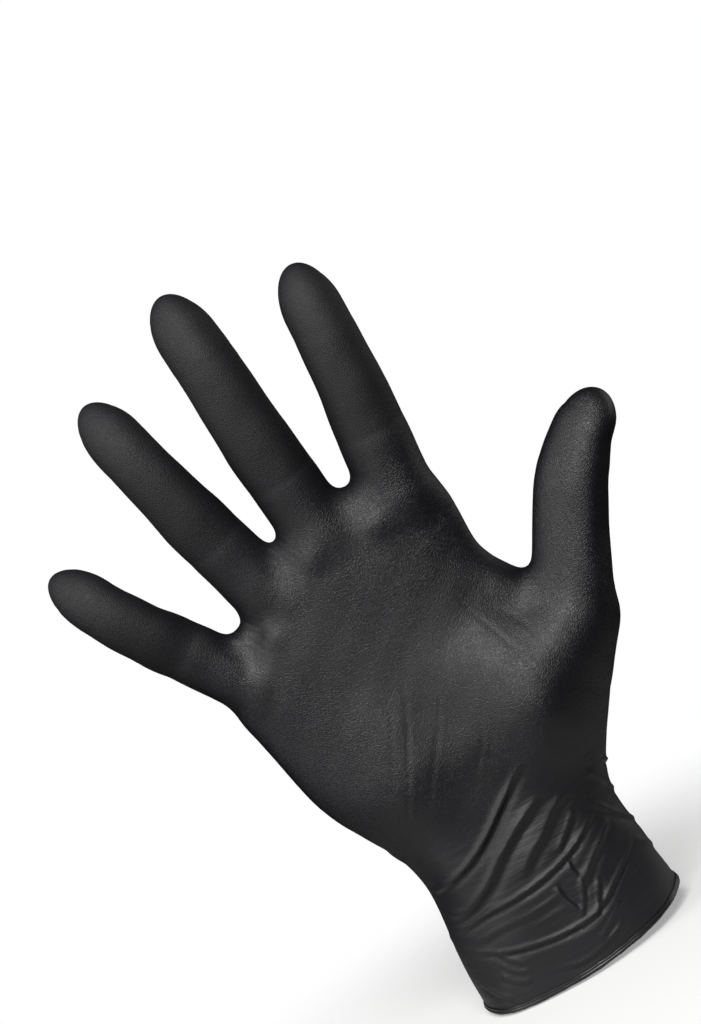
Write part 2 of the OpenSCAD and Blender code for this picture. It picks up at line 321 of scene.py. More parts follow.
# The palm between cuff and fingers: height above the wrist crease as a share of the palm's length,
# how far it reaches to the little finger's side and to the thumb's side, and its half thickness
# towards the palm and towards the back of the hand, all in millimetres.
PALM_ROWS = (
    (0.07, -35.0, 41.3, 20.8, 19.4),
    (0.16, -40.8, 48.8, 19.8, 18.4),
    (0.25, -46.2, 53.8, 19.0, 17.4),
    (0.33, -49.2, 58.0, 17.6, 16.6),
    (0.42, -51.2, 51.5, 16.2, 15.8),
    (0.50, -52.9, 41.2, 14.8, 15.2),
    (0.60, -54.7, 37.6, 13.6, 14.6),
    (0.76, -46.5, 37.0, 12.2, 13.4),
    (0.88, -40.0, 37.8, 11.0, 12.4),
)
# Swellings of the palm's face: place across and along as shares of the palm's length from the wrist
# crease, height, and reach across and along, in millimetres.
SWELLINGS = (
    (0.235, 0.250, 9.6, 18.0, 22.0),      # ball of the thumb
    (-0.200, 0.250, 3.8, 15.0, 24.0),     # heel of the hand
    (-0.300, 0.620, 1.2, 13.0, 16.0),     # below the ring and little fingers
    (0.100, 0.842, 1.6, 4.8, 4.8),        # pads below the webs
    (-0.092, 0.852, 1.7, 4.8, 4.8),
    (-0.290, 0.742, 1.4, 4.5, 4.5),
)


def palm_columns():
    """The rows of the palm with those of the cuff and wrist, which come from the frame, below them."""
    wide, deep = CUFF_HALF[0], CUFF_HALF[1]
    rows = [
        (-14.0, -wide, wide + 1.8, deep, deep),
        (0.0, -wide + 0.4, wide + 0.8, deep, deep),
        (0.4 * WRIST[2], -wide + 1.6, wide - 0.4, deep - 0.6, deep - 1.2),
        (BAND_LOW[2] + 4, BAND_LOW[0] - 0.1, BAND_HIGH[0] + 0.2, BAND_HALF[1] + 0.2, BAND_HALF[1] - 1),
    ]
    rows += [(WRIST[2] + share * PALM_LENGTH, *rest) for share, *rest in PALM_ROWS]
    return np.array(rows).T


COLUMNS = palm_columns()
PALM_TOP = ((-52.0, 126.0), (-40.0, 136.0), (-17.0, 153.0), (10.0, 157.0), (38.0, 154.0))
TOP_ROUND = 16.0


def palm_distance(points):
    x, y, z = points.T
    heights, left, right, front, back = COLUMNS
    left, right = curve(z, heights, left), curve(z, heights, right)
    front, back = curve(z, heights, front), curve(z, heights, back)
    for across, along, rise, wide, long in SWELLINGS:
        middle = WRIST + PALM_LENGTH * np.array([across, 0, along])
        front = front + rise * bump(x, middle[0], wide) * bump(z, middle[2], long)
    top = curve(x, *np.array(PALM_TOP).T)
    squareness = 2.0 + 0.5 * smooth_step((z - WRIST[2]) / 40)
    half = (right - left) / 2
    across = np.abs(x - (left + right) / 2) / half
    thick = np.where(y < 0, front, back)
    deep = np.abs(y) / thick
    end = np.maximum(z - (top - TOP_ROUND), 0) / TOP_ROUND
    n = squareness
    g = (across ** n + deep ** n + end ** n) ** (1 / n)
    slope = np.sqrt(
        (across ** (n - 1) / half) ** 2 + (deep ** (n - 1) / thick) ** 2
        + (end ** (n - 1) / TOP_ROUND) ** 2
    ) * np.maximum(g, 0.05) ** (1 - n)
    return np.minimum((g - 1) / np.maximum(slope, 1e-6), FAR)


class Mound:
    """An ellipsoid that fills a web or raises a knuckle."""

    def __init__(self, centre, radii):
        self.centre = centre
        self.radii = radii

    def distance(self, points):
        across, deep, along = (points - self.centre).T
        return np.minimum(ellipse_distance(across, deep, along, *self.radii), FAR)


def web_point(a, b, drop):
    """Midway between two neighbouring fingers, drop below their root creases."""
    return (a.point(-drop) + b.point(-drop)) / 2


def mounds():
    """Webs and knuckles of the hand, each with the reach of its fillet."""
    index, middle, ring, little = (STALLS[f] for f in FINGERS)
    found = []
    # webs between the fingers
    gaps = ((index, middle, 12.8, 0), (middle, ring, 14.8, 0), (ring, little, 16.0, -1))
    for a, b, drop, sway in gaps:
        web = web_point(a, b, drop)
        found.append((Mound(web + [sway, -0.5, 0], (6.5, 6.5, 6.5)), 5))
    # the fold of film between thumb and index finger
    low, high = THUMB.point(-15.5) + [-7, 2, 0], index.point(-47) + [4.5, 2, 0]
    for share in np.linspace(0, 1, 4):
        found.append((Mound(mix(low, high, share), (8, 8, 8)), 7))
    # knuckles on the back of the hand
    for stall in (index, middle, ring, little):
        found.append((Mound(stall.point(-24) + [0, 5.5, 0], (8.5, 9.5, 10)), 7))
    return found


class Hand:
    """The whole form: distance(points) is below zero inside it."""

    def __init__(self):
        self.forms = mounds() + [(finger_sweep(s), 6.0) for s in STALLS.values()]
        self.thumb = thumb_sweep()

    def distance(self, points):
        d = palm_distance(points)
        for form, reach in self.forms:
            d = smooth_union(d, form.distance(points), reach)
        reach = mix(14.0, 5.0, smooth_step((points[:, 2] - THUMB.point(-28)[2]) / 20))
        return smooth_union(d, self.thumb.distance(points), reach)

    def slope(self, points, at):
        step = 0.04
        return np.stack(
            [(self.distance(points + step * axis) - at) / step for axis in np.eye(3)], axis=1
        )

    def settle(self, points, rounds):
        """Moves points onto the surface."""
        for _ in range(rounds):
            d = self.distance(points)
            g = self.slope(points, d)
            steep = np.maximum((g * g).sum(1), 0.05)
            points = points - np.clip(d / steep, -1, 1)[:, None] * g
        return points


# ---- folds ----

# every fold's height and width, as shares of the values that the list gives
FOLD_HEIGHT = 0.62
FOLD_WIDTH = 0.6


class Fold:
    """A ridge of gathered film along a path of (turn, height) points, with a valley on its left.

    Turn is in degrees round the cuff from the middle of the palm's side towards the thumb."""

    def __init__(self, height, width, *path, valley=0.75):
        self.height = FOLD_HEIGHT * height
        self.width = FOLD_WIDTH * width
        self.valley = valley
        self.path = path


FOLDS = (
    # from the middle of the heel down to the little finger's side
    Fold(2.0, 1.5, (20, 62.5), (7, 57), (-6, 52), (-17, 47.7), (-31, 43.4), (-50, 40.3), (-76, 38)),
    Fold(1.9, 2.3, (20, 51), (1, 46), (-14, 41), (-25, 36), (-37, 32.3), (-50, 30), (-72, 30.5)),
    Fold(1.0, 2.2, (32, 48), (17, 43), (10, 40), (-2, 36), (-10, 31.5)),
    Fold(1.5, 1.3, (45, 38), (28, 33.4), (15, 30.6), (1, 28.8), (-17, 27.7), (-35, 27.1), (-53, 25.4),
         (-74, 24.3)),
    Fold(1.0, 1.4, (31, 41), (22, 37), (12, 33)),
    Fold(1.1, 1.8, (50, 32), (33, 27.5), (21, 23.4), (12, 18.5)),
    Fold(1.5, 1.2, (64, 24), (45, 19.2), (33, 16.4), (22, 13.3), (13, 11.4), (-2, 11.1), (-17, 12.1),
         (-35, 14.1), (-62, 17.5)),
    Fold(0.8, 1.6, (8, 22.5), (-11, 21.1), (-28, 21.3), (-46, 20.3), (-60, 20.5)),
    # shallow gathers near the bead
    Fold(0.7, 1.1, (28, 9.5), (17, 6.1), (9, 3.5)),
    Fold(0.7, 1.1, (25, 4.5), (6, 1.2), (-6, 0.9), (-16, 3)),
    Fold(0.6, 1.2, (-26, 7.5), (-33, 10.5), (-42, 14.5)),
    Fold(0.5, 1.1, (-29, 5.5), (-36, 7.5), (-43, 10.8)),
    Fold(0.6, 1.3, (-30, 2.4), (-38, 4.3), (-46, 7.6)),
    Fold(0.8, 1.4, (-44, -0.5), (-55, 2.5), (-68, 7)),
    # puckers where two folds meet
    Fold(0.9, 0.9, (15, 29), (14, 26), (16, 23.5)),
    Fold(0.9, 0.9, (3, 24.5), (4, 20), (8, 14.5)),
    Fold(0.8, 0.9, (16, 23), (13, 18), (7, 12.5)),
    Fold(0.8, 1.0, (24, 19.5), (19, 15), (13, 10)),
    # steps on the thumb's side
    Fold(1.1, 0.9, (98, 44.6), (86, 45.2), (68, 47.5), valley=0.4),
    Fold(0.8, 1.5, (102, 35), (82, 37.5), (70, 40.2), (48, 48.5), valley=0.3),
    Fold(0.8, 1.5, (104, 23), (79, 26.4), (56, 33.7), (40, 41), valley=0.3),
    Fold(0.7, 1.6, (112, 13), (92, 14.5), (72, 18), (60, 21), valley=0.3),
)
BACK_FOLDS = 15


def back_folds():
    """Slanting folds on the back of the wrist and cuff."""
    chance = np.random.default_rng(7)
    found = []
    for k in range(BACK_FOLDS):
        turn = 108 + 150 * (k % 5) / 5 + chance.uniform(-10, 12)
        height = 6 + 18 * (k // 5) + chance.uniform(-5, 5)
        span = chance.uniform(26, 60)
        rise = chance.uniform(4, 15)
        path = [
            (turn + span * t, height + rise * t * t + chance.uniform(-1, 1)) for t in (0, 0.3, 0.6, 1)
        ]
        found.append(Fold(chance.uniform(0.7, 1.6), chance.uniform(1.2, 2.2), *path))
    return found


def smooth_path(points, count):
    """A smooth line through a few points."""
    points = np.array(points, float)
    run = np.concatenate([[0], np.cumsum(np.linalg.norm(np.diff(points, axis=0), axis=1))])
    t = np.linspace(0, run[-1], count)
    return np.stack([curve(t, run, points[:, 0]), curve(t, run, points[:, 1])], axis=1)


def ridge_height(places, path, height, width, valley):
    """Height of one ridge at places in the film's plane, both in millimetres."""
    out = np.zeros(len(places))
    near = np.all((places > path.min(0) - 4 * width) & (places < path.max(0) + 4 * width), axis=1)
    if not near.any():
        return out
    p = places[near]
    a, b = path[:-1], path[1:]
    run = b - a
    long = (run ** 2).sum(1)
    t = np.clip(((p[:, None] - a) * run).sum(2) / long, 0, 1)
    off = p[:, None] - (a + t[..., None] * run)
    gap = np.sqrt((off ** 2).sum(2))
    i = gap.argmin(1)
    rows = np.arange(len(p))
    turned = run[i, 0] * off[rows, i, 1] - run[i, 1] * off[rows, i, 0]
    d = gap[rows, i] * np.sign(turned)
    share = (i + t[rows, i]) / len(a)
    fade = smooth_step(share / 0.22) * smooth_step((1 - share) / 0.25)
    crest = 1 / np.cosh(d / width) ** 2
    dip = 1 / np.cosh((d - 1.9 * width) / (1.15 * width)) ** 2
    out[near] = height * fade * (crest - valley * dip)
    return out


AROUND = float(BAND_HALF[0] + BAND_HALF[1]) / 2      # millimetres of film for each radian of turn


def cuff_places(points):
    """Turn round the cuff, laid out flat in millimetres, and height."""
    middle = curve(points[:, 2], [0, WRIST[2]], [0, WRIST[0]])
    turn = np.arctan2((points[:, 0] - middle) / BAND_HALF[0], -points[:, 1] / BAND_HALF[1])
    return np.stack([turn * AROUND, points[:, 2]], axis=1)


def cuff_relief(points, strength):
    """How far the gathered film of cuff and wrist stands off the hand's form."""
    low = points[:, 2] < WRIST[2] + 26
    out = np.zeros(len(points))
    places = cuff_places(points[low])
    found = np.zeros(len(places))
    for fold in list(FOLDS) + back_folds():
        path = np.array(fold.path, float)
        path[:, 0] = np.radians(path[:, 0]) * AROUND
        line = smooth_path(path, 26)
        for lap in (-1, 0, 1):
            shift = np.array([lap * 2 * math.pi * AROUND, 0])
            found += ridge_height(places + shift, line, fold.height, fold.width, fold.valley)
    u, z = places.T
    loose = smooth_step((WRIST[2] + 14 - z) / 20)
    slack = 0.35 * np.sin(u / 6.1 + z / 9.0) + 0.25 * np.sin(u / 3.7 - z / 6.5 + 1.3)
    out[low] = strength * (found + loose * slack)
    return out


def crease_relief(points):
    """Shallow creases across the palm's side of each finger, and gathers over its joints behind."""
    out = np.zeros(len(points))
    for stall in STALLS.values():
        off = points - stall.root
        s, across = off @ stall.axis, off @ stall.side
        on = (np.abs(across) < stall.root_half + 2) & (s > -4) & (s < stall.length + 2)
        s, across = s[on], across[on]
        y = points[on, 1]
        palm_side = smooth_step(-y / 6)
        back_side = smooth_step(y / 4)
        arch = 0.012 * across ** 2
        relief = np.zeros(len(s))
        for crease, deep in zip(stall.creases, (0.18, 0.05, 0.07)):
            lift = 5.5 if crease == 0 else 0.0
            relief -= deep * palm_side * bump(s, crease + lift + arch, 1.8)
        relief -= 0.10 * palm_side * bump(s, stall.length - 9.5 + 0.06 * across ** 2, 1.1)
        for crease, wide in zip(stall.creases[1:], (4.5, 3.0)):
            ripples = np.cos((s - crease) * 2.1 + 0.04 * across ** 2)
            relief += 0.22 * back_side * ripples * bump(s, crease, wide) * bump(across, 0, 6.5)
        out[on] += relief
    return out


# Fine creases of the palm's film: depth, width and (x, z) points, in millimetres.
PALM_CREASES = (
    (0.16, 0.8, (-4, 103), (-9, 92), (-17, 78), (-28, 60)),
    (0.14, 0.8, (3, 92), (-4, 82), (-12, 72), (-19, 63)),
    (0.12, 0.7, (-12, 96), (-19, 84), (-26, 72)),
    (0.12, 0.7, (12, 84), (7, 74), (-1, 65)),
    (0.12, 0.8, (22, 113), (27, 100), (31, 86), (33, 73)),
    (0.10, 0.8, (29, 110), (35, 99), (40, 85)),
)
WRINKLED_WEBS = (("ring", "little", 12.0), ("middle", "ring", 10.5))


def palm_relief(points):
    """Fine creases on the palm's side, and wrinkles where the film is pinched below two webs."""
    out = np.zeros(len(points))
    facing = (points[:, 1] < -4) & (points[:, 2] > WRIST[2] + 5)
    spots = points[facing]
    places = spots[:, [0, 2]]
    for depth, width, *path in PALM_CREASES:
        out[facing] -= ridge_height(places, smooth_path(path, 26), depth, width, 0.3)
    for a, b, drop in WRINKLED_WEBS:
        off = spots - web_point(STALLS[a], STALLS[b], drop)
        away = np.hypot(off[:, 0], off[:, 2])
        slanted = off @ unit(STALLS[a].side + 0.5 * STALLS[a].axis)
        out[facing] += 0.09 * np.cos(slanted * 2.6 + 0.05 * away ** 2) * bump(away, 0, 6.5)
    return out


def skin_relief(points):
    """A slight unevenness of the stretched film."""
    x, y, z = points.T
    uneven = (
        0.10 * np.sin(x / 5.3 + z / 11.0 + 0.4) * np.sin(z / 6.7 - y / 5.0)
        + 0.07 * np.sin(x / 2.9 - z / 4.1) * np.sin(y / 3.3 + z / 5.9 + 1.0)
    )
    return uneven * smooth_step((z - WRIST[2] - 8) / 12)


# ---- the rim of the cuff ----

RIM_LOW = -0.8                                        # height of the cuff's edge at its middle
RIM_RISE = np.array([1.9, 2.6]) / CUFF_HALF[:2]       # and its slope across and front to back


def rim_height(points):
    """Height of the cuff's edge, which sags a little on the palm's side and the little finger's side."""
    return RIM_LOW + points[..., :2] @ RIM_RISE


# ---- pieces ----

class Piece:
    """A stretch of film: what it rides on or bends between, and which CAD nodes it stands for."""

    def __init__(self, name, bodies, nodes, holds, start=None, end=None):
        self.name, self.bodies, self.nodes, self.holds = name, bodies, nodes, holds
        self.start, self.end = start, end


class Cut:
    """A flat cut across a stall or the wrist, that reaches sideways only as far as that stall."""

    def __init__(self, centre, axis, reach):
        self.centre, self.axis, self.reach = centre, axis, reach

    def near(self, points):
        off = points - self.centre
        along = off @ self.axis
        away = np.linalg.norm(off - along[:, None] * self.axis, axis=1)
        return (np.abs(along) < 2.5) & (away < self.reach)


def between(stall, start, end):
    """A test for points beside a stall, from start to end along it."""
    def holds(points):
        off = points - stall.root
        along = off @ stall.axis
        away = np.abs(off @ stall.side)
        if len(stall.hinges) == 2:
            # the thumb leans over beyond its joint
            away = np.minimum(away, np.abs((points - stall.hinges[1]) @ tip_side(stall)))
        return (along > start) & (along < end) & (away < stall.root_half + 3.5)
    return holds


def tip_side(stall):
    return np.array([stall.tip_axis[2], 0.0, -stall.tip_axis[0]])


def list_pieces():
    """All pieces of film and the cuts between them."""
    pieces, cuts = [], []
    for stall in list(STALLS.values()) + [THUMB]:
        f = stall.name
        bodies = ["palm", f"{f}_root"] + ([f"{f}_middle"] if f != "thumb" else []) + [f"{f}_end"]
        zones = ["root"] + (["middle"] if f != "thumb" else []) + ["tip"]
        first_middle = mix(stall.creases[0], stall.creases[1], 0.5) + 0.5
        starts = [ROOT_CUT, first_middle]
        if f != "thumb":
            starts.append(mix(stall.creases[1], stall.creases[2], 0.5))
        ends = starts[1:] + [stall.length + 20]
        for k, zone in enumerate(zones):
            hinge_at = stall.creases[k]
            finish = ends[k] if k < len(zones) - 1 else 2 * hinge_at - starts[k]
            pieces.append(Piece(
                f"{f}_{zone}_film", (bodies[k], bodies[k + 1]), stall.nodes[2 * k:2 * k + 2],
                between(stall, starts[k], ends[k]),
                stall.point(starts[k] + 0.3), stall.point(finish - 0.3),
            ))
            cuts.append(Cut(stall.point(starts[k]), stall.axis, stall.root_half + 3))
    pieces.append(Piece(
        "cuff_film", ("cuff",), ["cuff_sleeve"], lambda p: p[:, 2] < WRIST_START
    ))
    pieces.append(Piece(
        "wrist_film", ("cuff", "palm"), ["wrist_band"],
        lambda p: (p[:, 2] >= WRIST_START) & (p[:, 2] < WRIST_END),
        np.array([0, 0, WRIST_START + 0.3]), np.array([0, 0, WRIST_END - 0.3]),
    ))
    pieces.append(Piece(
        "palm_film", ("palm",), ["palm_face", "hand_back"], lambda p: p[:, 2] >= WRIST_END
    ))
    for height in (WRIST_START, WRIST_END):
        cuts.append(Cut(np.array([0, 0, height]), UP, 70.0))
    return pieces, cuts


PIECES, CUTS = list_pieces()


# ---- the skin ----

FIELD_LOW = np.array([-99.0, -36.0, -16.0])     # the block in which the form is looked for
FIELD_HIGH = np.array([107.0, 32.0, 246.0])


def mesh_of_form(hand, voxel):
    """Quads over the whole form, from its distance field."""
    counts = np.ceil((FIELD_HIGH - FIELD_LOW) / voxel).astype(int)
    axes = [FIELD_LOW[k] + voxel * np.arange(counts[k]) for k in range(3)]
    values = np.empty(counts, np.float32)
    for i, x in enumerate(axes[0]):
        y, z = np.meshgrid(axes[1], axes[2], indexing="ij")
        slab = np.stack([np.full(y.size, x), y.ravel(), z.ravel()], axis=1)
        values[i] = hand.distance(slab).reshape(y.shape)
    grid = openvdb.FloatGrid()
    grid.copyFromArray(values)
    points, quads = grid.convertToQuads(isovalue=0.0)
    return FIELD_LOW + voxel * np.asarray(points, float), np.asarray(quads, np.int64)


def subdivide(points, quads):
    """Each quad becomes four."""
    sides = np.stack([quads, np.roll(quads, -1, axis=1)], axis=2).reshape(-1, 2)
    sides.sort(axis=1)
    keys = sides[:, 0] * len(points) + sides[:, 1]
    unique, first, back = np.unique(keys, return_index=True, return_inverse=True)
    middles = points[sides[first]].mean(axis=1)
    centres = points[quads].mean(axis=1)
    m = len(points) + back.reshape(-1, 4)
    c = len(points) + len(unique) + np.arange(len(quads))
    parts = [np.stack([quads[:, k], m[:, k], c, m[:, k - 1]], axis=1) for k in range(4)]
    return np.concatenate([points, middles, centres]), np.concatenate(parts)


def face_centres(points, corners, starts, totals):
    sums = np.add.reduceat(points[corners], starts, axis=0)
    return sums / totals[:, None]


class Skin:
    """The glove's outer surface as one mesh, cut along the edges of the pieces."""

    def __init__(self, sizes):
        hand = Hand()
        points, quads = mesh_of_form(hand, 2 * sizes.mesh_step * MM)
        points = hand.settle(points, 2)
        points, quads = subdivide(points, quads)
        points = hand.settle(points, 1)
        above = (points[:, 2] - rim_height(points))[quads].min(axis=1) > -3
        quads = quads[above]
        mesh = bpy.data.meshes.new("skin")
        mesh.from_pydata(points, [], quads.tolist())
        self.cut(mesh)
        count = len(mesh.vertices)
        form = np.empty(count * 3, np.float32)
        mesh.vertices.foreach_get("co", form)
        form = form.reshape(-1, 3).astype(float)
        normals = np.empty(count * 3, np.float32)
        mesh.vertex_normals.foreach_get("vector", normals)
        out = normals.reshape(-1, 3)
        stand = cuff_relief(form, sizes.fold_strength) + crease_relief(form)
        stand += palm_relief(form) + skin_relief(form)
        self.points = form + stand[:, None] * out
        mesh.vertices.foreach_set("co", self.points.astype(np.float32).ravel())
        mesh.update()
        mesh.vertex_normals.foreach_get("vector", normals)
        self.normals = normals.reshape(-1, 3).astype(float)
        self.corners = np.empty(len(mesh.loops), np.int32)
        mesh.loops.foreach_get("vertex_index", self.corners)
        self.starts = np.empty(len(mesh.polygons), np.int32)
        self.totals = np.empty(len(mesh.polygons), np.int32)
        mesh.polygons.foreach_get("loop_start", self.starts)
        mesh.polygons.foreach_get("loop_total", self.totals)
        centres = face_centres(form, self.corners, self.starts, self.totals)
        self.owner = np.full(len(centres), -1)
        for k, piece in enumerate(PIECES):
            self.owner[(self.owner < 0) & piece.holds(centres)] = k
        bpy.data.meshes.remove(mesh)

    def cut(self, mesh):
        """Cuts the mesh along the edges of the pieces and along the rim."""
        bm = bmesh.new()
        bm.from_mesh(mesh)
        bm.faces.ensure_lookup_table()
        centres = np.array([f.calc_center_median() for f in bm.faces])
        sets = [[bm.faces[i] for i in np.flatnonzero(c.near(centres))] for c in CUTS]
        rim_faces = [bm.faces[i] for i in np.flatnonzero(centres[:, 2] < 6)]
        for cut, faces in zip(CUTS, sets):
            slice_faces(bm, faces, cut.centre, cut.axis)
        corner = np.zeros(3)
        corner[2] = rim_height(corner)
        tilt = unit(np.array([-RIM_RISE[0], -RIM_RISE[1], 1.0]))
        slice_faces(bm, rim_faces, corner, tilt)
        centres = np.array([f.calc_center_median() for f in bm.faces])
        below = np.flatnonzero(centres[:, 2] < rim_height(centres))
        bm.faces.ensure_lookup_table()
        bmesh.ops.delete(bm, geom=[bm.faces[i] for i in below], context="FACES")
        bm.to_mesh(mesh)
        bm.free()
        mesh.update()

    def patch(self, k):
        """Corner vertices and polygon sizes of piece k, numbered afresh, and the vertices used."""
        mine = self.owner == k
        loops = np.repeat(mine, self.totals)
        used, corners = np.unique(self.corners[loops], return_inverse=True)
        return used, corners, self.totals[mine]

    def rim_line(self, count):
        """The edge of the cuff as points at even turns round it."""
        used, corners, totals = self.patch([p.name for p in PIECES].index("cuff_film"))
        a, b = open_edges(corners, totals, len(used))
        edge = np.unique(np.concatenate([a, b]))
        points = self.points[used[edge]]
        points = points[np.abs(points[:, 2] - rim_height(points)) < 3.0]
        turn = np.arctan2(points[:, 1], points[:, 0])
        order = np.argsort(turn)
        turn, points = turn[order], points[order]
        at = np.linspace(-math.pi, math.pi, count, endpoint=False)
        sides = [np.interp(at, turn, points[:, k], period=2 * math.pi) for k in range(3)]
        return np.stack(sides, axis=1)


def slice_faces(bm, faces, centre, axis):
    faces = [f for f in faces if f.is_valid]
    edges = {e for f in faces for e in f.edges}
    verts = {v for f in faces for v in f.verts}
    bmesh.ops.bisect_plane(
        bm, geom=list(faces) + list(edges) + list(verts), dist=0.04,
        plane_co=Vector(centre), plane_no=Vector(axis),
    )


def open_edges(corners, totals, count):
    """Directed edges that only one polygon uses."""
    starts = np.concatenate([[0], np.cumsum(totals)[:-1]])
    following = np.arange(len(corners)) + 1
    following[starts + totals - 1] = starts
    a, b = corners, corners[following]
    keys = np.minimum(a, b).astype(np.int64) * count + np.maximum(a, b)
    _, back, times = np.unique(keys, return_inverse=True, return_counts=True)
    once = times[back] == 1
    return a[once], b[once]


def build_mesh(name, points, corners, totals, normals=None):
    """A mesh object from flat arrays, in metres."""
    mesh = bpy.data.meshes.new(name)
    mesh.vertices.add(len(points))
    mesh.loops.add(len(corners))
    mesh.polygons.add(len(totals))
    mesh.vertices.foreach_set("co", (points / MM).astype(np.float32).ravel())
    mesh.loops.foreach_set("vertex_index", corners.astype(np.int32))
    starts = np.concatenate([[0], np.cumsum(totals)[:-1]]).astype(np.int32)
    mesh.polygons.foreach_set("loop_start", starts)
    mesh.update(calc_edges=True)
    mesh.validate()
    mesh.polygons.foreach_set("use_smooth", np.ones(len(totals), bool))
    if normals is not None:
        mesh.normals_split_custom_set_from_vertices(normals)
    obj = bpy.data.objects.new(name, mesh)
    bpy.context.scene.collection.objects.link(obj)
    return obj


def film_object(skin, k, thickness):
    """One closed piece of film: its outer and inner faces, joined round its edges."""
    used, corners, totals = skin.patch(k)
    count = len(used)
    outer, normals = skin.points[used], skin.normals[used]
    inner = outer - thickness * normals
    starts = np.concatenate([[0], np.cumsum(totals)[:-1]])
    place = np.arange(len(corners)) - np.repeat(starts, totals)
    turned = np.repeat(starts + totals - 1, totals) - place
    a, b = open_edges(corners, totals, count)
    rim = np.stack([b, a, a + count, b + count], axis=1).ravel()
    return build_mesh(
        PIECES[k].name,
        np.concatenate([outer, inner]),
        np.concatenate([corners, corners[turned] + count, rim]),
        np.concatenate([totals, totals, np.full(len(a), 4)]),
        np.concatenate([normals, -normals]),
    )


_made = {}


def the_skin():
    if "skin" not in _made:
        _made["skin"] = Skin(bpy.context.scene.glove_sizes)
    return _made["skin"]


def add_film(names):
    """Builds pieces of film; a piece on one body is fixed to that body, a piece between two bodies is left
    unparented.
    """
    sizes = bpy.context.scene.glove_sizes
    for k, piece in enumerate(PIECES):
        if piece.name not in names:
            continue
        obj = film_object(the_skin(), k, sizes.film * MM)
        obj.data.materials.append(film_material())
        if len(piece.bodies) == 1:
            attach(obj, piece.bodies[0])
        else:
            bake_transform(obj)
        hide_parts(*piece.nodes)


def bead_object(sizes):
    """The rolled edge: a thick roll with a thinner one above it."""
    line = the_skin().rim_line(420)
    ahead = unit_rows(np.roll(line, -1, axis=0) - np.roll(line, 1, axis=0))
    out = unit_rows(np.cross(ahead, UP))
    r = sizes.bead_radius * MM
    rolls = ((r, 0.0, 205, 515, 11), (0.62 * r, 1.25 * r, -15, 195, 7))
    section = []
    for radius, rise, first, last, steps in rolls:
        for a in np.radians(np.linspace(first, last, steps) - 90 * (rise == 0)):
            section.append((radius * math.cos(a), rise + radius * math.sin(a)))
    section = np.array(section)
    centre = section.mean(axis=0)
    order = np.argsort(np.arctan2(section[:, 1] - centre[1], section[:, 0] - centre[0]))
    section = section[order]
    turns = np.linspace(0, 2 * math.pi, len(line), endpoint=False)
    swell = 1 + 0.06 * np.sin(9 * turns) + 0.05 * np.sin(23 * turns + 1)
    rings = (
        line[:, None]
        + out[:, None] * (section[None, :, 0] * swell[:, None])[..., None]
        + UP * (section[None, :, 1] * swell[:, None])[..., None]
    )
    n, m = rings.shape[:2]
    i, j = np.meshgrid(np.arange(n), np.arange(m), indexing="ij")
    i2, j2 = (i + 1) % n, (j + 1) % m
    quads = np.stack([i * m + j, i2 * m + j, i2 * m + j2, i * m + j2], axis=2).reshape(-1, 4)
    sizes_of_faces = np.full(len(quads), 4)
    return build_mesh("cuff_rolled_bead", rings.reshape(-1, 3), quads.ravel(), sizes_of_faces)


def unit_rows(v):
    return v / np.linalg.norm(v, axis=1)[:, None]


# ---- materials ----

class Nodes:
    """Short calls for a material's nodes."""

    def __init__(self, name):
        self.material = bpy.data.materials.new(name)
        self.material.use_nodes = True
        self.tree = self.material.node_tree
        self.shader = self.tree.nodes["Principled BSDF"]

    def add(self, kind, **settings):
        node = self.tree.nodes.new(kind)
        inputs = settings.pop("inputs", {})
        for key, value in settings.items():
            setattr(node, key, value)
        for key, value in inputs.items():
            self.put(node.inputs[key], value)
        return node

    def put(self, socket, value):
        if isinstance(value, bpy.types.NodeSocket):
            self.tree.links.new(value, socket)
        else:
            socket.default_value = value

    def math(self, operation, a, b):
        node = self.add("ShaderNodeMath", operation=operation)
        self.put(node.inputs[0], a)
        self.put(node.inputs[1], b)
        return node.outputs[0]

    def noise(self, place, scale):
        inputs = {"Vector": place, "Scale": scale, "Detail": 3.0}
        return self.add("ShaderNodeTexNoise", inputs=inputs).outputs["Fac"]

    def ramp(self, value, low, high, out_low, out_high):
        node = self.add("ShaderNodeMapRange", interpolation_type="SMOOTHSTEP")
        for key, given in zip(("Value", "From Min", "From Max", "To Min", "To Max"),
                              (value, low, high, out_low, out_high)):
            self.put(node.inputs[key], given)
        return node.outputs[0]


